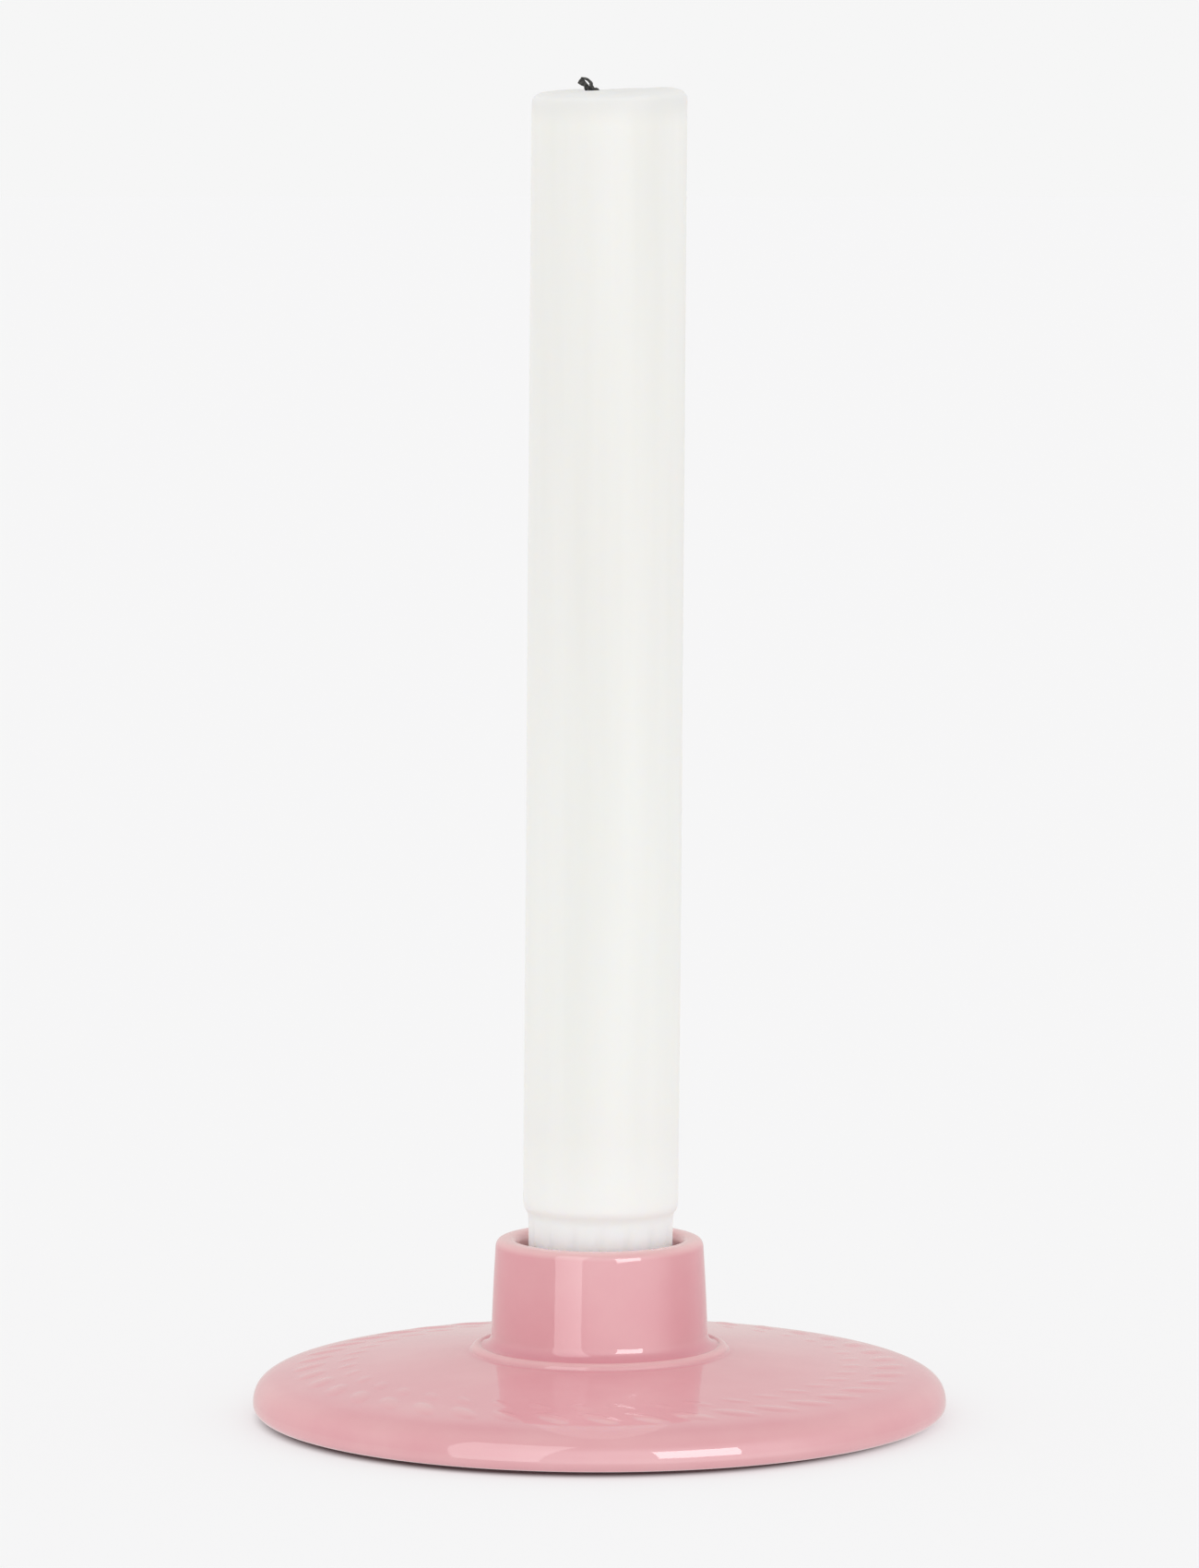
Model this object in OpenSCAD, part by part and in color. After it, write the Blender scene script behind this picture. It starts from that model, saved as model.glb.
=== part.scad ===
// A straight dinner candle standing in a low glazed stoneware holder. Sizes are in millimetres.
// The holder stands on z = 0 with the axis of its socket on the Z axis.

/* [Base plate] */
// Radius of the plate at its widest
plate_r = 49.5; // [46:0.5:56]
// Height of the widest line above the table
plate_waist_z = 2.1; // [1.9:0.1:2.6]
// Radius of the rounded shoulder at the plate's edge
rim_round_r = 4.4; // [3.6:0.1:4.6]
// Slope of the plate's upper face, in degrees
plate_slope = 6.3; // [4:0.1:7]
// Height of the foot ring under the plate
foot_ring_h = 0.8; // [0.6:0.1:1.2]
// Middle radius of the foot ring
foot_ring_r = 36; // [32:0.5:40]
// Width of the foot ring's flat face
foot_ring_w = 3.4; // [2:0.1:5]
// Thickness of the plate where the candle stands
plate_web = 4.8; // [3.5:0.1:5.4]

/* [Relief border] */
// Number of grains in each row of the border
grain_count = 40; // [24:1:44]
// Radius of the outer row of grains
grain_row_r = 41; // [40:0.5:42]
// Length of an outer grain
grain_l = 7; // [5:0.5:8]
// Width of an outer grain
grain_w = 2.8; // [1.5:0.1:3.2]
// Height that a grain stands out of the plate
grain_h = 0.2; // [0.15:0.05:0.5]
// Angle between a grain and the rim, in degrees
grain_slant = 38; // [20:1:60]

/* [Socket collar] */
// Inner radius of the socket
socket_r = 11.6; // [11.2:0.1:12]
// Height of the collar's mouth above the table
mouth_z = 25.6; // [22:0.1:28]
// Outer radius of the collar where its foot flare begins
collar_r = 15.4; // [14.8:0.1:16]
// Outer radius of the collar just under its lip
collar_top_r = 14.8; // [14.4:0.1:15.4]
// Radius of the lip's inner rounding; the outer one is 1.4 mm, or what the wall has left
lip_in_r = 1.2; // [0.8:0.1:1.4]
// Radius of the concave flare at the collar's foot
flare_r = 3; // [2:0.1:3.4]
// Radius of the bead round the collar's seat
bead_r = 1; // [0.6:0.1:1.1]

/* [Candle] */
// Length of the candle without its wick
candle_l = 181.7; // [120:0.1:250]
// Diameter of the column just above its foot
candle_d = 22.1; // [21.6:0.1:22.4]
// Diameter of the column at its top
candle_top_d = 21.9; // [21:0.1:22.1]
// Length of the turned foot that goes into the socket
foot_l = 22; // [20:0.5:25]
// Diameter of the foot at its shoulder
foot_d = 20.7; // [20:0.1:21.2]
// Diameter of the foot at its lower end
foot_end_d = 20.3; // [19.5:0.1:20.7]
// Number of flutes cut along the foot
flute_count = 16; // [8:1:20]
// Depth of a flute
flute_depth = 0.22; // [0.1:0.01:0.3]
// Angle by which the candle leans in its socket, in degrees
candle_lean = 0.45; // [0:0.05:0.8]

/* [Wick] */
// Radius of one strand of the plaited wick
strand_r = 0.32; // [0.25:0.01:0.33]
// Length along the wick of one full turn of the plait
plait_pitch = 5.6; // [4.5:0.1:8]
// Radius of the channel that the wick fills in the wax
channel_r = 1.12; // [1.1:0.01:1.3]

/* [Hidden] */
$fn = 96;

// Plate: the underside inside the foot ring, the socket's floor, and the shoulder where the rim
// rounding meets the sloping upper face.
recess_z = 2.2;
recess_draft = 0.8;
floor_z = recess_z + plate_web;
under_round_r = plate_waist_z - foot_ring_h;
shoulder_r = plate_r - rim_round_r + rim_round_r * sin(plate_slope);
shoulder_z = plate_waist_z + rim_round_r * cos(plate_slope);
function plate_top_z(r) = shoulder_z + (shoulder_r - r) * tan(plate_slope);

// Seat of the collar, with the bead just outside it.
seat_r = collar_r + 1;
bead_mid_r = seat_r + bead_r;
bead_end_r = bead_mid_r + bead_r;
seat_z = plate_top_z(bead_end_r);
bead_mid_z = seat_z - 0.05;

// Border: the inner row has smaller and flatter grains, set half a step round.
inner_row_r = grain_row_r - 5.6;
inner_scale = 0.62;
relief_from_r = inner_row_r - 4;

// Collar: the flare is cut off where it reaches the seat's edge.
lip_crest_r = socket_r + lip_in_r;
lip_out_r = min(1.4, collar_top_r - lip_crest_r);
flare_end_a = acos((collar_r + flare_r - seat_r) / flare_r);
flare_mid = [collar_r + flare_r, seat_z + 0.4 + flare_r * sin(flare_end_a)];

// Candle: its own heights, counted from its foot along its axis.
shoulder_h = 1.8;
top_round = [2.5, 1.5];
dish_depth = 1.7;
dish_r = 7.6;
flute_cut_r = 1.1;
flute_margin = 1.5;

// Wick: how the plait swings across and along its flat side, and the middle line of the wick.
// The last points are the free end, counted from the middle of the candle's top edge.
plait_across = 0.70;
plait_along = 0.42;
strand_sides = 8;
strand_from_h = 0.5;
free_end = [[0, 0, -5], [0, 0, -3.4], [0, 0, -2.4], [-0.3, 0, -1.5], [-1.0, 0, -0.8],
            [-2.0, 0, -0.2], [-2.9, 0, 0.6], [-3.4, 0, 1.0], [-3.9, 0, 1.35]];
steps_per_span = 4;

// Points along an arc in a half section, from one angle to another.
function arc(mid, r, from, to, n = 8) =
    [for (i = [0:n]) let (a = from + (to - from) * i / n)
        [mid[0] + r * cos(a), mid[1] + r * sin(a)]];

// Outline of a grain seen from above: a pointed leaf between two equal arcs.
module leaf(l, w, h) {
    r = (l * l + w * w) / (4 * w);
    intersection() {
        translate([0, r - w / 2, 0]) cylinder(r = r, h = h);
        translate([0, w / 2 - r, 0]) cylinder(r = r, h = h);
    }
}

module grain_row(row_r, l, w, turn) {
    for (i = [0:grain_count - 1])
        rotate(turn + i * 360 / grain_count)
            translate([row_r, 0, 0])
                rotate(90 - grain_slant)
                    leaf(l, w, 3 * floor_z);
}

// Skin that lies on the plate's upper face and is as thick as the grains are high.
module relief_skin(h) {
    sink = 1;
    rotate_extrude()
        polygon([[relief_from_r, plate_top_z(relief_from_r) - sink],
                 [shoulder_r, shoulder_z - sink],
                 [shoulder_r, shoulder_z + h],
                 [relief_from_r, plate_top_z(relief_from_r) + h]]);
}

module plate_body() {
    ring_in = foot_ring_r - foot_ring_w / 2;
    ring_out = foot_ring_r + foot_ring_w / 2;
    rotate_extrude()
        polygon(concat(
            [[0, recess_z], [ring_in - recess_draft, recess_z], [ring_in, 0], [ring_out, 0],
             [ring_out + foot_ring_h, foot_ring_h]],
            arc([plate_r - under_round_r, plate_waist_z], under_round_r, -90, 0),
            arc([plate_r - rim_round_r, plate_waist_z], rim_round_r, 0, 90 - plate_slope, 12),
            arc([bead_mid_r, bead_mid_z], bead_r, 15, 180, 12),
            [[seat_r, seat_z], [socket_r, seat_z], [socket_r, floor_z], [0, floor_z]]));
}

// Plate with its foot ring underneath, the bead and seat for the collar, and the relief border.
module base_plate() {
    color([0.90, 0.68, 0.70])
    union() {
        plate_body();
        intersection() {
            relief_skin(grain_h);
            grain_row(grain_row_r, grain_l, grain_w, 0);
        }
        intersection() {
            relief_skin(grain_h * inner_scale);
            grain_row(inner_row_r, grain_l * inner_scale, grain_w * inner_scale,
                      180 / grain_count);
        }
    }
}

// Tube that holds the candle's foot, with a rounded lip and a flared foot on the plate's seat.
module socket_collar() {
    color([0.90, 0.66, 0.69])
    rotate_extrude()
        polygon(concat(
            [[socket_r, seat_z], [seat_r, seat_z]],
            arc(flare_mid, flare_r, 180 + flare_end_a, 180),
            arc([collar_top_r - lip_out_r, mouth_z - lip_out_r], lip_out_r, 0, 90),
            arc([lip_crest_r, mouth_z - lip_in_r], lip_in_r, 90, 180)));
}

// Puts what is modelled on the candle's own axis into the socket, leaning.
module in_socket() {
    translate([0, 0, floor_z]) rotate([0, candle_lean, 0]) children();
}

module wax_column() {
    r_foot = foot_d / 2;
    r_low = candle_d / 2;
    r_top = candle_top_d / 2;
    rotate_extrude()
        polygon(concat(
            [[channel_r, -1], [foot_end_d / 2, -1], [r_foot, foot_l],
             [r_low, foot_l + shoulder_h]],
            [for (a = [0:9:90]) [r_top - top_round[0] * (1 - cos(a)),
                                 candle_l - top_round[1] * (1 - sin(a))]],
            [for (a = [0:15:90]) [channel_r + (dish_r - channel_r) * (1 - sin(a)),
                                  candle_l - dish_depth * (1 - cos(a))]]));
}

module foot_flutes() {
    for (i = [0:flute_count - 1])
        rotate(i * 360 / flute_count)
            translate([foot_d / 2 + flute_cut_r - flute_depth, 0, -2])
                cylinder(r = flute_cut_r, h = foot_l + 2 - flute_margin);
}

// Column of wax with a fluted foot, cut level below so that it stands on the socket's floor.
module candle_wax() {
    color([0.93, 0.93, 0.90])
    intersection() {
        in_socket() difference() {
            wax_column();
            foot_flutes();
        }
        translate([-20, -20, floor_z]) cube([40, 40, 2 * candle_l]);
    }
}

// Smooth curve through the points of a route: a Catmull-Rom span from p[i] to p[i + 1].
function span_point(p, i, t) =
    let (a = p[max(i - 1, 0)], b = p[i], c = p[i + 1], d = p[min(i + 2, len(p) - 1)])
    0.5 * (2 * b + (c - a) * t + (2 * a - 5 * b + 4 * c - d) * t * t
           + (3 * b - 3 * c + d - a) * t * t * t);

// Middle line of the free end, then the distance along it at each point.
top_of_wax = [0, 0, candle_l];
middle = [for (i = [0:len(free_end) - 2], k = [0:steps_per_span - 1])
              top_of_wax + span_point(free_end, i, k / steps_per_span),
          top_of_wax + free_end[len(free_end) - 1]];
function run(i) = i == 0 ? 0 : run(i - 1) + norm(middle[i] - middle[i - 1]);
function ahead(i) =
    let (d = middle[min(i + 1, len(middle) - 1)] - middle[max(i - 1, 0)]) d / norm(d);

// One strand's own line: it swings from side to side, and over and under the other two.
// The wick bends in the XZ plane, so the flat side of the plait faces along Y.
function strand_point(i, phase) =
    let (turn = 360 * run(i) / plait_pitch + phase, f = ahead(i), side = [f[2], 0, -f[0]])
    middle[i] + [0, 1, 0] * plait_across * sin(turn) + side * plait_along * sin(2 * turn);

function strand_ring(p, f) =
    let (side = [f[2], 0, -f[0]])
    [for (k = [0:strand_sides - 1]) let (a = 360 * k / strand_sides)
        p + strand_r * (cos(a) * side + sin(a) * [0, 1, 0])];

// Strand: straight inside the candle from just above its foot, then plaited along the free end.
module strand(phase) {
    start = strand_point(0, phase);
    line = concat([[start[0], start[1], strand_from_h]],
                  [for (i = [0:len(middle) - 1]) strand_point(i, phase)]);
    n = len(line);
    rings = [for (i = [0:n - 1]) strand_ring(line[i], i == 0 ? [0, 0, 1] : ahead(i - 1))];
    points = [for (ring = rings, p = ring) p];
    m = strand_sides;
    sides = [for (i = [0:n - 2], k = [0:m - 1]) let (j = (k + 1) % m)
                [i * m + k, (i + 1) * m + k, (i + 1) * m + j, i * m + j]];
    in_socket() polyhedron(points, concat(
        sides,
        [[for (k = [0:m - 1]) k]],
        [[for (k = [m - 1:-1:0]) (n - 1) * m + k]]));
}

module wick_strand(number) {
    color([0.16, 0.15, 0.15]) strand(120 * number);
}

base_plate();
socket_collar();
candle_wax();
wick_strand(1);  // wick_strand_1
wick_strand(2);  // wick_strand_2
wick_strand(3);  // wick_strand_3
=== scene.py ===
# A straight white dinner candle, burnt for a short while, in the socket of a low stoneware holder with
# a pink glaze. Metres, +Z up, with the origin on the table under the middle of the socket.
import math

import bpy
from mathutils import Matrix, Vector, noise


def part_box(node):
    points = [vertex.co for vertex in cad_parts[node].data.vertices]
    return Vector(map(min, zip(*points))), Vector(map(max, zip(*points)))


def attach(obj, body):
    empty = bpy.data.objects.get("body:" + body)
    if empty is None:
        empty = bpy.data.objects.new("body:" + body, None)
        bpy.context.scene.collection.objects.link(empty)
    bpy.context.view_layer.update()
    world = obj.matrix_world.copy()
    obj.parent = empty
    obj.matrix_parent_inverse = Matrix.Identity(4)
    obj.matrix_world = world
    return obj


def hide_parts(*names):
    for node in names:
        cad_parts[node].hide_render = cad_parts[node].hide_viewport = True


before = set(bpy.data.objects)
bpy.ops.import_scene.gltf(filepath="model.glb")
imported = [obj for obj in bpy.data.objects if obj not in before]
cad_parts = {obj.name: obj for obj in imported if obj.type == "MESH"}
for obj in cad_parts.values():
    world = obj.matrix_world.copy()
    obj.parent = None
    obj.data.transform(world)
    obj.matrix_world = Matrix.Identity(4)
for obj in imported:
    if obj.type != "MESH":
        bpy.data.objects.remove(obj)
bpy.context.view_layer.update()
scene = bpy.context.scene


# ---- Camera ------------------------------------------------------------------------------------
# A long lens stands level with the top of the candle, a little over a metre off, and is tipped down
# towards the holder.
camera_back = 1.040
camera_height = 0.1887
camera_tip = 5.39
bpy.ops.object.camera_add(
    location=(0, -camera_back, camera_height), rotation=(math.radians(90 - camera_tip), 0, 0)
)
camera = bpy.context.object
camera.name = "camera"
camera.data.lens = 169.1
scene.camera = camera
scene.view_settings.view_transform = "Standard"


# ---- Floor and studio --------------------------------------------------------------------------
# A plain pale floor runs on into a plain pale room, with no line between them. The floor isn't seen
# in the glaze, so the windows are reflected right down the collar.
floor_reach = 12
bpy.ops.mesh.primitive_circle_add(vertices=128, radius=floor_reach, fill_type="NGON")
floor = bpy.context.object
floor.name = "floor"
floor.visible_glossy = False


def new_paint(name, sockets):
    """A new material with its node tree and its shader, whose own sockets are set."""
    paint = bpy.data.materials.new(name)
    paint.use_nodes = True
    shader = paint.node_tree.nodes["Principled BSDF"]
    for socket, value in sockets.items():
        shader.inputs[socket].default_value = value
    return paint, paint.node_tree, shader


def object_place(tree):
    """The place on the piece, for patterns that are fixed to it."""
    return tree.nodes.new("ShaderNodeTexCoord").outputs["Object"]


def height_of(tree, place):
    """The upward part of a place or a direction."""
    split = tree.nodes.new("ShaderNodeSeparateXYZ")
    tree.links.new(place, split.inputs["Vector"])
    return split.outputs["Z"]


def compare(tree, operation, place, other):
    """One number from a place or a direction and a fixed one, such as the distance between them."""
    vectors = tree.nodes.new("ShaderNodeVectorMath")
    vectors.operation = operation
    vectors.inputs[1].default_value = other
    tree.links.new(place, vectors.inputs[0])
    return vectors.outputs["Value"]


def fade(tree, value, start, end, low=0, high=1, curve="SMOOTHSTEP"):
    """A number that goes from low to high while the value goes from start to end."""
    span = tree.nodes.new("ShaderNodeMapRange")
    span.interpolation_type = curve
    for socket, number in (("From Min", start), ("From Max", end), ("To Min", low), ("To Max", high)):
        span.inputs[socket].default_value = number
    tree.links.new(value, span.inputs["Value"])
    return span.outputs["Result"]


# The floor gives off part of its own light, but none under the holder, which leaves a soft shade
# along the edge.
shade_middle = (-0.0008, 0, 0)
shade_from, shade_to = 0.0455, 0.0492
floor_paint, tree, matt = new_paint("floor_paint", {
    "Base Color": (0.40, 0.40, 0.40, 1),
    "Roughness": 1,
    "Specular IOR Level": 0,
    "Emission Color": (0.984, 0.985, 1, 1),
})
from_middle = compare(tree, "DISTANCE", object_place(tree), shade_middle)
glow = fade(tree, from_middle, shade_from, shade_to, high=0.515)
tree.links.new(glow, matt.inputs["Emission Strength"])
floor.data.materials.append(floor_paint)


def tones(tree, value, *stops, curve="LINEAR"):
    """Colours that follow a value. Each stop is a value from 0 to 1 and the colour it gets."""
    chart = tree.nodes.new("ShaderNodeValToRGB")
    chart.color_ramp.interpolation = curve
    elements = chart.color_ramp.elements
    for element, (position, colour) in zip(elements, (stops[0], stops[-1])):
        element.position = position
        element.color = (*colour, 1)
    for position, colour in stops[1:-1]:
        elements.new(position).color = (*colour, 1)
    tree.links.new(value, chart.inputs["Fac"])
    return chart.outputs["Color"]


def grey(level):
    """A neutral colour."""
    return (level, level, level)


def blend(tree, amount, colour, towards):
    """Takes a node's colour towards a fixed one by an amount from 0 to 1."""
    mix = tree.nodes.new("ShaderNodeMix")
    mix.data_type = "RGBA"
    mix.inputs["B"].default_value = (*towards, 1)
    tree.links.new(amount, mix.inputs["Factor"])
    tree.links.new(colour, mix.inputs["A"])
    return mix.outputs["Result"]


# The room lights everything evenly. What the glaze mirrors is a bright wall in front, a little to the
# right, dim sides, a dark ceiling and a warm pale wall behind. Seen directly the room is plain.
room = bpy.data.worlds.new("room")
scene.world = room
room.use_nodes = True
tree = room.node_tree
way = tree.nodes.new("ShaderNodeTexCoord").outputs["Generated"]
up = height_of(tree, way)
lit = tree.nodes["Background"]
lit.inputs["Color"].default_value = (1, 0.995, 0.985, 1)
tree.links.new(fade(tree, up, 0.1, 0.9, low=1.33, high=0.93), lit.inputs["Strength"])

towards_window_wall = (0.37, -0.93, 0)
facing = compare(tree, "DOT_PRODUCT", way, towards_window_wall)
walls = tones(
    tree, fade(tree, facing, -1, 1, curve="LINEAR"),
    (0, (0.39, 0.36, 0.35)), (0.35, grey(0.36)), (0.55, grey(0.28)), (0.64, grey(0.31)),
    (1, (1.30, 1.30, 1.32)), curve="EASE",
)
ceiling = blend(tree, fade(tree, up, 0.42, 0.9), walls, (0.13, 0.125, 0.125))
table = blend(tree, fade(tree, up, -0.12, -0.45), ceiling, grey(0.44))
mirrored = tree.nodes.new("ShaderNodeBackground")
mirrored.inputs["Strength"].default_value = 2
tree.links.new(table, mirrored.inputs["Color"])

seen = tree.nodes.new("ShaderNodeBackground")
seen.inputs["Color"].default_value = (*grey(0.9216), 1)


def choose(tree, ray_kind, other, chosen):
    """Shows the chosen background to one kind of ray and the other to the rest."""
    mix = tree.nodes.new("ShaderNodeMixShader")
    ray = tree.nodes.new("ShaderNodeLightPath")
    tree.links.new(ray.outputs[ray_kind], mix.inputs["Fac"])
    tree.links.new(other, mix.inputs[1])
    tree.links.new(chosen, mix.inputs[2])
    return mix.outputs["Shader"]


in_glaze = choose(tree, "Is Glossy Ray", lit.outputs["Background"], mirrored.outputs["Background"])
direct = choose(tree, "Is Camera Ray", in_glaze, seen.outputs["Background"])
tree.links.new(direct, tree.nodes["World Output"].inputs["Surface"])


def softbox(name, turn, rise, distance, width, height, radiance):
    """Hangs a soft light that only the glaze mirrors, turn degrees to the right and rise degrees up."""
    a, e = math.radians(turn), math.radians(rise)
    towards = Vector((math.sin(a) * math.cos(e), -math.cos(a) * math.cos(e), math.sin(e)))
    bpy.ops.object.light_add(type="AREA", location=towards * distance)
    box = bpy.context.object
    box.name = name
    box.rotation_euler = towards.to_track_quat("Z", "Y").to_euler()
    box.data.shape = "RECTANGLE"
    box.data.size = width
    box.data.size_y = height
    box.data.energy = radiance * math.pi * width * height
    box.visible_camera = False
    box.visible_diffuse = False


softbox("small_softbox", turn=32.5, rise=14.5, distance=1.3, width=0.64, height=0.58, radiance=7.6)
softbox("window_left", turn=-34, rise=24, distance=2.2, width=1.32, height=2.9, radiance=2.2)


# ---- Base plate --------------------------------------------------------------------------------
# A thrown stoneware disc with a rounded edge, a low cone on top, a pressed border of slanting grains
# and a bead round the seat of the collar. It is glazed all over, apart from the foot ring's face.
MM = 0.001
plate_r = 49.5 * MM
waist_z = 2.1 * MM
edge_round = 1.3 * MM
under_z = 0.8 * MM
recess_z = 2.2 * MM
ring_in, ring_out = 34.3 * MM, 37.7 * MM
rim_round = 4.4 * MM
cone = math.radians(6.3)
bead_mid, bead_r = 17.38 * MM, 1.02 * MM
socket_r = 11.6 * MM
socket_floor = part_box("candle_wax")[0].z
plate_sides = 720

shoulder_r = plate_r - rim_round * (1 - math.sin(cone))
shoulder_z = waist_z + rim_round * math.cos(cone)


def cone_z(r):
    """Height of the plate's upper face at radius r."""
    return shoulder_z + (shoulder_r - r) * math.tan(cone)


def on_cone(*radii, above=0.0):
    """Points of the half section on the plate's upper face, or a little above it."""
    return [(r, cone_z(r) + above) for r in radii]


seat_z = cone_z(18.4 * MM)
bead_z = seat_z - 0.08 * MM


def arc(mid_r, mid_z, radius, start, end, count):
    """Points along an arc of a half section, by angle in degrees from the outward direction."""
    points = []
    for i in range(count + 1):
        a = math.radians(start + (end - start) * i / count)
        points.append((mid_r + radius * math.cos(a), mid_z + radius * math.sin(a)))
    return points


def sweep(a, b, c, d, count):
    """Points along a smooth curve from a, left out, to d, setting out towards b and coming in from c."""
    points = []
    for i in range(1, count + 1):
        t = i / count
        u = 1 - t
        weights = (u * u * u, 3 * u * u * t, 3 * u * t * t, t * t * t)
        points.append(tuple(sum(w * p[k] for w, p in zip(weights, (a, b, c, d))) for k in (0, 1)))
    return points


def pull_rings(name, section, sides, closed_start=False):
    """Pulls a ring of edges along a half section, a step at a time, as clay is thrown."""
    (r, z), rest = section[0], section[1:]
    bpy.ops.object.select_all(action="DESELECT")
    bpy.ops.mesh.primitive_circle_add(
        vertices=sides, radius=r, location=(0, 0, z), fill_type="TRIFAN" if closed_start else "NOTHING"
    )
    piece = bpy.context.object
    piece.name = piece.data.name = name
    bpy.ops.object.transform_apply(location=True, rotation=True, scale=True)
    bpy.ops.object.mode_set(mode="EDIT")
    bpy.ops.mesh.select_mode(type="EDGE")
    bpy.ops.mesh.select_all(action="DESELECT")
    bpy.ops.mesh.select_non_manifold()
    for next_r, next_z in rest:
        bpy.ops.mesh.extrude_edges_move(TRANSFORM_OT_translate={"value": (0, 0, next_z - z)})
        bpy.ops.transform.resize(value=(next_r / r, next_r / r, 1), center_override=(0, 0, 0))
        r, z = next_r, next_z
    return piece


def close_up(piece, smooth_angle=50):
    """Welds what meets, turns all faces outwards and shades the piece smooth but for its sharp edges."""
    bpy.ops.mesh.select_all(action="SELECT")
    bpy.ops.mesh.remove_doubles(threshold=0.002 * MM)
    bpy.ops.mesh.normals_make_consistent(inside=False)
    bpy.ops.object.mode_set(mode="OBJECT")
    bpy.ops.object.shade_smooth_by_angle(angle=math.radians(smooth_angle))


# The section starts in the middle of the underside, goes out over the foot ring and round the edge,
# comes in over the border and the bead, and ends in the socket.
relief_in, relief_out = 33.2 * MM, 45.0 * MM
ease_r = 42.5 * MM
ease_out = ease_r + 5.2 * MM
relief_steps = 27
relief_step = (ease_r - relief_in) / relief_steps
plate_section = [(20 * MM, recess_z), (ring_in - 1.4 * MM, recess_z)]
plate_section += [(ring_in - 0.9 * MM, recess_z - 0.3 * MM), (ring_in - 0.3 * MM, 0.25 * MM)]
plate_section += [(ring_in, 0), (ring_out, 0), (ring_out + 0.3 * MM, 0.25 * MM)]
plate_section += [(ring_out + 0.8 * MM, 0.68 * MM), (ring_out + 1.6 * MM, under_z), (43 * MM, under_z)]
plate_section += arc(plate_r - edge_round, waist_z, edge_round, -90, 0, 7)
plate_section += sweep(
    (plate_r, waist_z), (plate_r, waist_z + 2.9 * MM), (ease_out, cone_z(ease_out)),
    (ease_r, cone_z(ease_r)), 34,
)
plate_section += on_cone(*[ease_r - relief_step * i for i in range(1, relief_steps + 1)])
plate_section += on_cone(31 * MM, 28 * MM, 25 * MM, 22 * MM, 19.5 * MM, 18.75 * MM)
plate_section += on_cone(18.45 * MM, above=0.05 * MM)
plate_section += arc(bead_mid, bead_z, bead_r, 12, 105, 12)
plate_section += [(16.95 * MM, seat_z + 0.80 * MM), (16.4 * MM, seat_z + 0.35 * MM), (16.1 * MM, seat_z)]
plate_section += [(socket_r + 0.2 * MM, seat_z), (socket_r, seat_z - 0.2 * MM)]
plate_section += [(socket_r, socket_floor + 0.8 * MM), (socket_r - 0.25 * MM, socket_floor + 0.2 * MM)]
plate_section += [(socket_r - 0.9 * MM, socket_floor), (6 * MM, socket_floor)]
plate = pull_rings("glazed_plate", plate_section, plate_sides, closed_start=True)
bpy.ops.mesh.extrude_edges_move()
bpy.ops.mesh.merge(type="CENTER")
close_up(plate)

grain_count = 40
grain_rows = (
    # middle radius, half length, half width, height, turn as a part of one step
    (41.4 * MM, 3.6 * MM, 1.5 * MM, 0.20 * MM, 0.0),
    (36.0 * MM, 2.4 * MM, 1.0 * MM, 0.10 * MM, 0.5),
)
grain_slant = math.radians(38)


def grain_height(x, y):
    """How far the pressed border stands out of the plate at a place on it."""
    r, around = math.hypot(x, y), math.atan2(y, x)
    step = 2 * math.pi / grain_count
    best = 0.0
    for row_r, half_l, half_w, height, turn in grain_rows:
        off = (around / step - turn + 0.5) % 1 - 0.5
        along_rim, outward = off * step * row_r, r - row_r
        along = along_rim * math.cos(grain_slant) + outward * math.sin(grain_slant)
        across = -along_rim * math.sin(grain_slant) + outward * math.cos(grain_slant)
        taper = 1 - (along / half_l) ** 2
        if taper > 0:
            swell = 1 - (across / (half_w * taper ** 0.7)) ** 2
            if swell > 0:
                best = max(best, height * swell * taper)
    return best


for v in plate.data.vertices:
    if v.co.z > waist_z and relief_in < math.hypot(v.co.x, v.co.y) < relief_out:
        v.co.z += grain_height(v.co.x, v.co.y)


def lay_glaze_and_shade(piece, glaze_and_shade_at):
    """Stores a tone: 0 for pooled glaze and painted shade, 0.5 on open ground, 1 on edges and painted
    light.
    """
    glaze_and_shade = piece.data.attributes.new("glaze_and_shade", "FLOAT", "POINT")
    for v, value in zip(piece.data.vertices, glaze_and_shade.data):
        value.value = glaze_and_shade_at(v.co)


def bump(value, middle, reach):
    """1 at the middle, falling smoothly to 0 at reach from it."""
    t = min(1, abs(value - middle) / reach)
    return (1 - t * t) ** 2


def plate_glaze_and_shade(spot):
    """Thin on grains, rim, bead and socket, with painted light on the bead; deep, with painted shade, in
    the creases by the bead.
    """
    r = math.hypot(spot.x, spot.y)
    if spot.z < waist_z + 0.5 * MM:
        return 0.5 + 0.12 * bump(spot.z, waist_z, 2 * MM)
    if r < socket_r + 0.3 * MM:
        return 0.85
    glaze_and_shade = 0.5 + 0.4 * grain_height(spot.x, spot.y) / MM + 0.11 * bump(r, 48.3 * MM, 2.2 * MM)
    # Paler on the bead: the glaze breaks there, and a painted light band is added.
    glaze_and_shade += 0.26 * bump(r, bead_mid + 0.5 * MM, 1.1 * MM)
    # Darker in the crease at the collar's foot and at the bead's outer foot: pooled glaze and painted
    # shade.
    return glaze_and_shade - 0.3 * bump(r, 16.6 * MM, 0.5 * MM) - 0.2 * bump(r, 18.7 * MM, 0.6 * MM)


lay_glaze_and_shade(plate, plate_glaze_and_shade)


def clouds(tree, place, scale, detail):
    """A soft cloudy pattern, mostly between 0.3 and 0.7."""
    noise_node = tree.nodes.new("ShaderNodeTexNoise")
    noise_node.inputs["Scale"].default_value = scale
    noise_node.inputs["Detail"].default_value = detail
    tree.links.new(place, noise_node.inputs["Vector"])
    return noise_node.outputs["Fac"]


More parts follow.
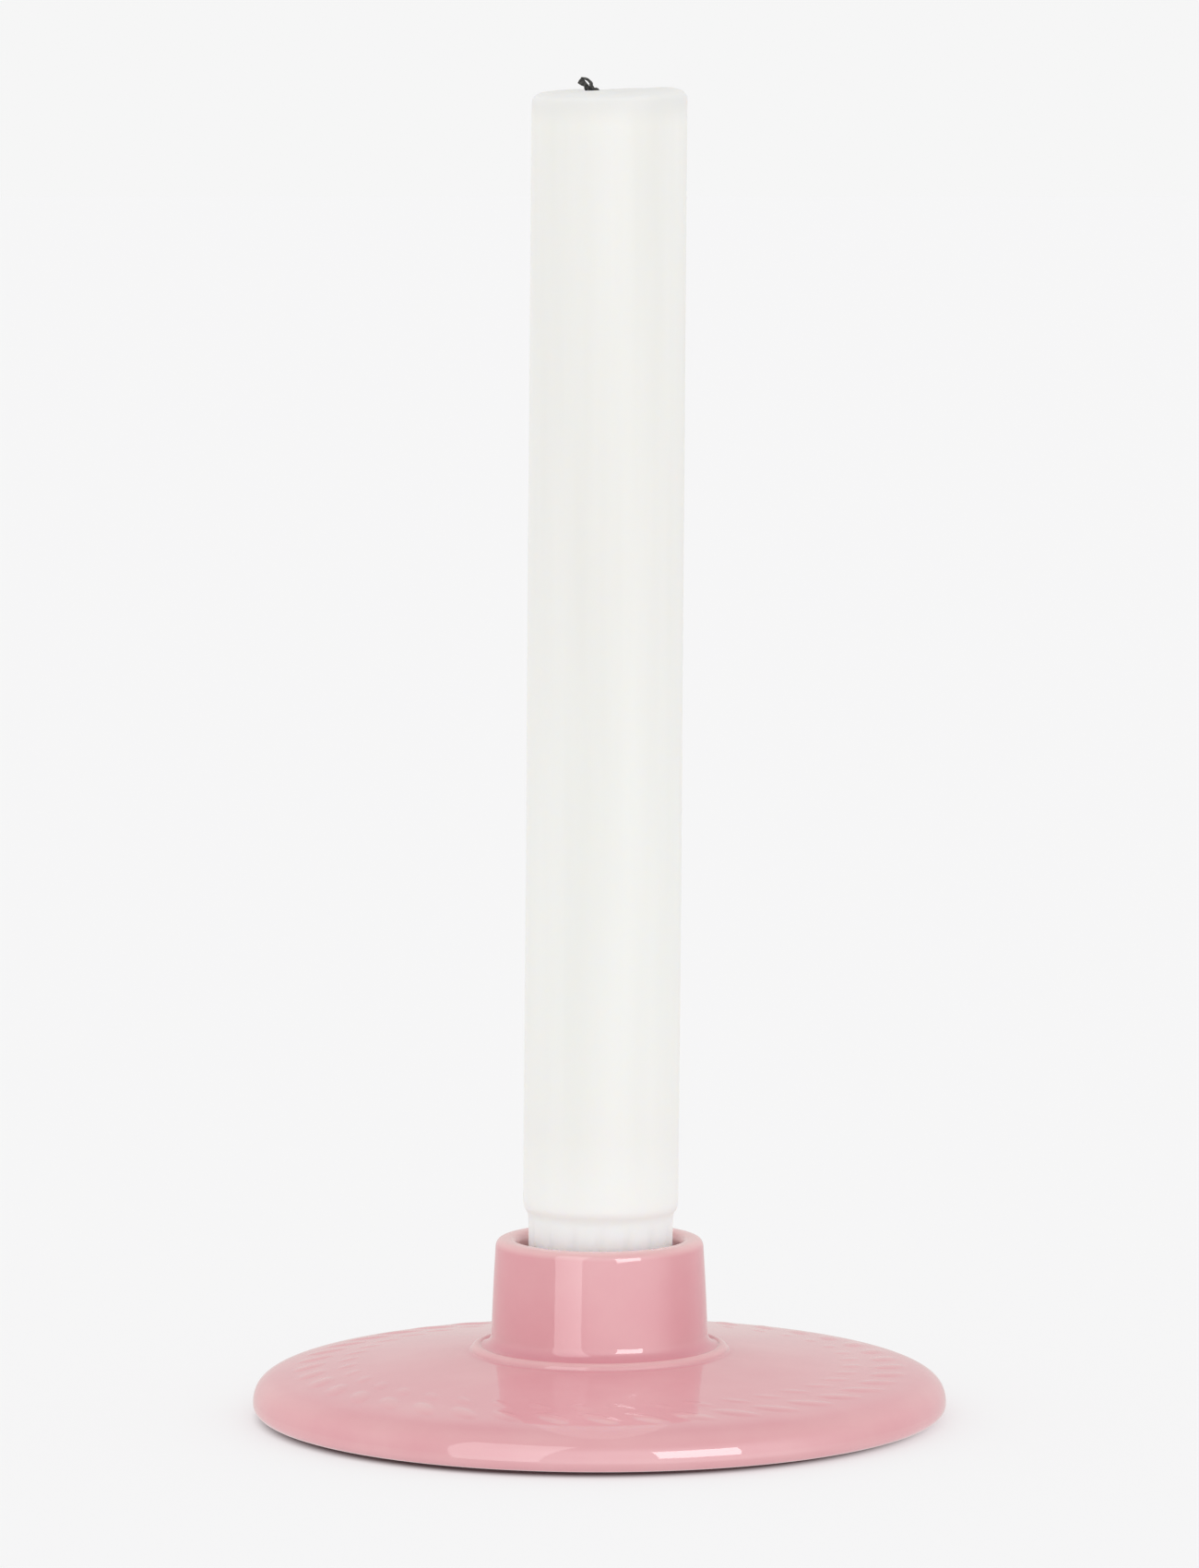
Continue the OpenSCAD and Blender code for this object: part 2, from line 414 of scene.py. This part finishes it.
def raise_grain(tree, shader, pattern, strength, distance):
    """Gives a surface a relief too fine for its mesh."""
    relief = tree.nodes.new("ShaderNodeBump")
    relief.inputs["Strength"].default_value = strength
    relief.inputs["Distance"].default_value = distance
    tree.links.new(pattern, relief.inputs["Height"])
    tree.links.new(relief.outputs["Normal"], shader.inputs["Normal"])


# The glaze breaks pale where it runs thinner and pools darker where it is deep. The same tone also
# carries painted shade in the creases round the collar's foot and a painted light band on the bead.
pink_glaze, tree, glaze = new_paint("pink_glaze", {"Roughness": 0.03, "IOR": 1.5})
place = object_place(tree)
mottle = fade(tree, clouds(tree, place, 90, 4), 0.3, 0.7, low=-0.07, high=0.07, curve="LINEAR")
glaze_and_shade_node = tree.nodes.new("ShaderNodeAttribute")
glaze_and_shade_node.attribute_name = "glaze_and_shade"
shade = tree.nodes.new("ShaderNodeMath")
tree.links.new(glaze_and_shade_node.outputs["Fac"], shade.inputs[0])
tree.links.new(mottle, shade.inputs[1])
tone = tones(
    tree, shade.outputs["Value"],
    (0, (0.65, 0.24, 0.295)), (0.5, (0.715, 0.356, 0.390)), (1, (0.80, 0.52, 0.52)),
)
tree.links.new(tone, glaze.inputs["Base Color"])
raise_grain(tree, glaze, clouds(tree, place, 160, 1), strength=0.12, distance=0.08 * MM)

bare_clay, tree, clay = new_paint("bare_clay", {"Roughness": 0.9})
grit = clouds(tree, object_place(tree), 2600, 5)
sand = tones(tree, grit, (0.35, (0.43, 0.35, 0.27)), (0.55, (0.58, 0.50, 0.40)))
tree.links.new(sand, clay.inputs["Base Color"])

plate.data.materials.append(pink_glaze)
plate.data.materials.append(bare_clay)
for face in plate.data.polygons:
    if face.center.z < 0.1 * MM:
        face.material_index = 1
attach(plate, "holder")
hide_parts("base_plate")


# ---- Socket collar -----------------------------------------------------------------------------
# A thrown tube of the same clay, luted on the plate's seat before glazing. It tapers a little to a
# rounded lip, and its foot flares out over the seat.
lip_in = 1.3 * MM
mouth_z = 25.6 * MM
foot_edge = (17.02 * MM, seat_z + 0.80 * MM)
wall_foot = (15.43 * MM, seat_z + 2.7 * MM)
wall_top = (14.84 * MM, 24.4 * MM)
lip_top = (13.4 * MM, mouth_z)
wall = ((15.36, 14.5), (15.25, 17), (15.10, 20), (14.96, 22.4))
collar_section = [(socket_r, seat_z), (16.2 * MM, seat_z), (16.62 * MM, seat_z + 0.6 * MM), foot_edge]
collar_section += sweep(
    foot_edge, (16.2 * MM, seat_z + 1.0 * MM), (15.50 * MM, seat_z + 1.35 * MM), wall_foot, 14
)
collar_section += [(r * MM, z * MM) for r, z in wall] + [wall_top]
collar_section += sweep(wall_top, (14.78 * MM, 25.05 * MM), (14.5 * MM, mouth_z), lip_top, 12)
collar_section += arc(socket_r + lip_in, mouth_z - lip_in, lip_in, 90, 180, 8)
collar_section += [(socket_r, 20 * MM), (socket_r, 14 * MM), (socket_r, seat_z)]
collar = pull_rings("glazed_collar", collar_section, 240)
close_up(collar)


def collar_glaze_and_shade(spot):
    """Thin on the lip and the socket's wall; deep, with painted shade, where the foot runs down into the
    crease.
    """
    if math.hypot(spot.x, spot.y) < socket_r + 0.1 * MM:
        return 0.85
    # Darker low on the foot: pooled glaze and painted shade.
    return 0.5 + 0.40 * bump(spot.z, mouth_z, 1.3 * MM) - 0.24 * bump(spot.z, seat_z + 1.1 * MM, 1.2 * MM)


lay_glaze_and_shade(collar, collar_glaze_and_shade)
collar.data.materials.append(pink_glaze)
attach(collar, "holder")
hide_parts("socket_collar")


# ---- Candle ------------------------------------------------------------------------------------
# A column of white wax cast in a tube mould, with a turned and fluted foot. It has burnt once, so
# the top edge is soft and uneven and the middle has melted into a shallow dish. It leans a little.
candle_l = 181.7 * MM
wick_hole_r = 1.12 * MM
foot_low, foot_top = (10.15 * MM, 1.2 * MM), (10.35 * MM, 21.5 * MM)
column_low, column_top = (11.07 * MM, 24.1 * MM), (10.96 * MM, 180 * MM)
shoulder_w, shoulder_h = 2.5 * MM, 1.5 * MM
shoulder_mid = column_top[0] - shoulder_w
dish_w, dish_depth = 7.0 * MM, 1.7 * MM


def straight(a, b, count):
    """Even points on the straight line from a, left out, to b."""
    return [tuple(a[k] + (b[k] - a[k]) * i / count for k in (0, 1)) for i in range(1, count + 1)]


quarter_turn = [math.radians(9 * i) for i in range(1, 11)]
wax_section = [(wick_hole_r, 0), (9.2 * MM, 0), (9.9 * MM, 0.35 * MM), foot_low]
wax_section += straight(foot_low, foot_top, 12)
wax_section += sweep(foot_top, (10.40 * MM, 22.9 * MM), (11.05 * MM, 22.5 * MM), column_low, 10)
wax_section += straight(column_low, column_top, 64)
wax_section += [(shoulder_mid + shoulder_w * math.cos(a), candle_l - shoulder_h * (1 - math.sin(a)))
                for a in quarter_turn]
wax_section += [(wick_hole_r + dish_w * (1 - math.sin(a)), candle_l - dish_depth * (1 - math.cos(a)))
                for a in quarter_turn]
wax_section += [(wick_hole_r, 120 * MM), (wick_hole_r, 60 * MM), (wick_hole_r, 0)]
candle = pull_rings("wax_candle", wax_section, 192)
close_up(candle)

# The flutes are worn, the column swells a little here and there, and the top edge has slumped.
skin_r = 9.5 * MM
flute_count, flute_depth, flutes_end = 16, 0.22 * MM, 21 * MM
swell_depth, swells_per_metre = 0.06 * MM, 22
slump_depth, slump_tilt = 0.35 * MM, 0.2 * MM
slump_below, slump_r, slump_over = 3 * MM, 4 * MM, 4 * MM
for v in candle.data.vertices:
    r, around = math.hypot(v.co.x, v.co.y), math.atan2(v.co.y, v.co.x)
    out = Vector((math.cos(around), math.sin(around), 0))
    if r > skin_r and v.co.z < flutes_end:
        v.co -= out * max(0.0, math.cos(around * flute_count)) ** 2 * flute_depth
    elif r > skin_r:
        v.co += out * swell_depth * noise.noise(Vector((out.x, out.y, v.co.z * swells_per_metre)))
    if v.co.z > candle_l - slump_below and r > slump_r:
        slump = slump_depth * noise.noise(Vector((1.3 * out.x, 1.3 * out.y, 4.7)))
        v.co.z += (slump_tilt * out.x + slump) * min(1, (r - slump_r) / slump_over)

lean = math.radians(0.45)
stand = Matrix.Translation((0, 0, socket_floor)) @ Matrix.Rotation(lean, 4, "Y")
candle.data.transform(stand)

# The wax set in long pale streaks down the mould. Painted light makes it lighter low on the column,
# most by the collar's lip. It is a little darker over the top, and grey with soot round the wick.
white_wax, tree, wax = new_paint("white_wax", {
    "Roughness": 0.55,
    "Subsurface Weight": 0.8,
    "Subsurface Radius": (1.0, 0.9, 0.75),
    "Subsurface Scale": 0.005,
})
place = object_place(tree)
height = height_of(tree, place)
drawn = tree.nodes.new("ShaderNodeMapping")
drawn.inputs["Scale"].default_value = (170, 170, 9)
tree.links.new(place, drawn.inputs["Vector"])
streak = clouds(tree, drawn.outputs["Vector"], 1, 3)
milk = tones(tree, streak, (0.3, (0.785, 0.787, 0.762)), (0.7, (0.825, 0.827, 0.808)))

candle_top = socket_floor + candle_l
# Painted light: the wax is lighter low on the column, lightest just above the collar's lip.
low = fade(tree, height, socket_floor + 112 * MM, socket_floor + 19 * MM, curve="LINEAR")
painted_light_low = tones(tree, low, (0, grey(0)), (0.6, grey(0.21)), (0.84, grey(0.34)), (1, grey(0.85)))
lit_low_wax = blend(tree, painted_light_low, milk, (0.90, 0.97, 0.945))
# The wax is a little darker over its top 5.5 mm.
high = fade(tree, height, candle_top - 5.5 * MM, candle_top)
darker_top = blend(tree, high, lit_low_wax, (0.705, 0.712, 0.71))
wick_foot = stand @ Vector((-0.5 * MM, 0, candle_l - 1.2 * MM))
from_wick = compare(tree, "DISTANCE", place, wick_foot)
soot = fade(tree, from_wick, 4.5 * MM, 1.0 * MM, high=0.45)
tree.links.new(blend(tree, soot, darker_top, (0.33, 0.31, 0.28)), wax.inputs["Base Color"])
candle.data.materials.append(white_wax)
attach(candle, "candle")
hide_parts("candle_wax")


# ---- Wick --------------------------------------------------------------------------------------
# A flat plait of three cotton strands, each spun from three plies. The wax holds it from the foot
# up; the free end is charred, bends to the left and has sprung open where one strand stands off.
strand_r = 0.31 * MM
plait_pitch, ply_pitch = 5.6 * MM, 3.2 * MM
swing_across, swing_flat = 0.70 * MM, 0.42 * MM
bend_points = [(0, -3.4), (0, -2.3), (-0.4, -1.5), (-1.25, -0.88), (-2.15, -0.4), (-2.9, 0.1),
               (-3.45, 0.7), (-4.2, 1.3)]
bend_points = [Vector((x * MM, 0, candle_l + z * MM)) for x, z in bend_points]


def through(points, i, t):
    """A point on the smooth curve through the points, t of the way from point i to the next."""
    a, b = points[max(i - 1, 0)], points[i]
    c, d = points[i + 1], points[min(i + 2, len(points) - 1)]
    return 0.5 * (2 * b + (c - a) * t + (2 * a - 5 * b + 4 * c - d) * t * t
                  + (3 * b - 3 * c + d - a) * t * t * t)


step = 0.28 * MM
held = [Vector((0, 0, 0.5 * MM + step * i)) for i in range(int((candle_l - 4.2 * MM) / step))]
bent = [through(bend_points, i, k / 4) for i in range(len(bend_points) - 1) for k in range(4)]
middle = held + bent + [bend_points[-1]]

# The section of a strand is a trefoil, one lobe for each ply.
bpy.ops.curve.primitive_nurbs_circle_add()
trefoil = bpy.context.object
trefoil.name = "trefoil"
trefoil.data.splines.clear()
outline = trefoil.data.splines.new("POLY")
outline.points.add(14)
outline.use_cyclic_u = True
for i, point in enumerate(outline.points):
    a = 2 * math.pi * i / len(outline.points)
    r = strand_r * (0.87 + 0.13 * math.cos(3 * a))
    point.co = (r * math.cos(a), r * math.sin(a), 0, 1)

# The cotton is pale where wax soaks it, and charred black, with ash on it, above.
soaked = (0.80, 0.78, 0.70)
burnt_wick, tree, yarn = new_paint("burnt_wick", {"Roughness": 0.85})
place = object_place(tree)
unburnt = fade(
    tree, height_of(tree, place), candle_top - 1.2 * MM, candle_top - 2.6 * MM, curve="LINEAR"
)
ash = clouds(tree, place, 2600, 3)
char = tones(tree, ash, (0.42, (0.018, 0.018, 0.017)), (0.72, (0.11, 0.108, 0.10)))
tree.links.new(blend(tree, unburnt, char, soaked), yarn.inputs["Base Color"])
raise_grain(tree, yarn, ash, strength=0.5, distance=0.05 * MM)

# Above the wax the plait opens over a short way. The three strands keep apart, and the last one
# stands off in an arch and is thinner there.
opens_at = candle_l + 0.15 * MM
opens_over = 0.6 * MM
stands_off = (0.12 * MM, -0.30 * MM, 0.08 * MM)
arch_span, arch_rise = 1.3 * MM, 0.66 * MM
for number in (1, 2, 3):
    run = 0.0
    bpy.ops.object.select_all(action="DESELECT")
    bpy.ops.curve.primitive_nurbs_path_add()
    strand = bpy.context.object
    strand.name = f"plaited_strand_{number}"
    strand.data.splines.clear()
    line = strand.data.splines.new("POLY")
    line.points.add(len(middle) - 1)
    for i, point in enumerate(line.points):
        here = middle[i]
        ahead = (middle[min(i + 1, len(middle) - 1)] - middle[max(i - 1, 0)]).normalized()
        side = Vector((ahead.z, 0, -ahead.x))
        run += (here - middle[i - 1]).length if i else 0
        turn = 2 * math.pi * (run / plait_pitch + number / 3)
        loose = min(1, max(0, (here.z - opens_at) / opens_over))
        swing = 1 - 0.8 * loose
        across = swing_across * swing * math.sin(turn)
        flat = swing_flat * swing * math.sin(2 * turn) + stands_off[number % 3] * loose
        if number == 3:
            arch = min(1, max(0, here.z - opens_at) / arch_span) ** 0.75
            flat += arch_rise * math.sin(math.pi * arch)
            point.radius = 1 - 0.3 * loose
        point.co = (*(here + side * flat + Vector((0, across, 0))), 1)
        point.tilt = 2 * math.pi * run / ply_pitch
    strand.data.dimensions = "3D"
    strand.data.bevel_mode = "OBJECT"
    strand.data.bevel_object = trefoil
    strand.data.use_fill_caps = True
    bpy.ops.object.convert(target="MESH")
    strand = bpy.context.object
    bpy.ops.object.mode_set(mode="EDIT")
    close_up(strand)
    strand.data.transform(stand)
    strand.data.materials.clear()
    strand.data.materials.append(burnt_wick)
    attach(strand, "candle")
    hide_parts(f"wick_strand_{number}")
bpy.data.objects.remove(trefoil)
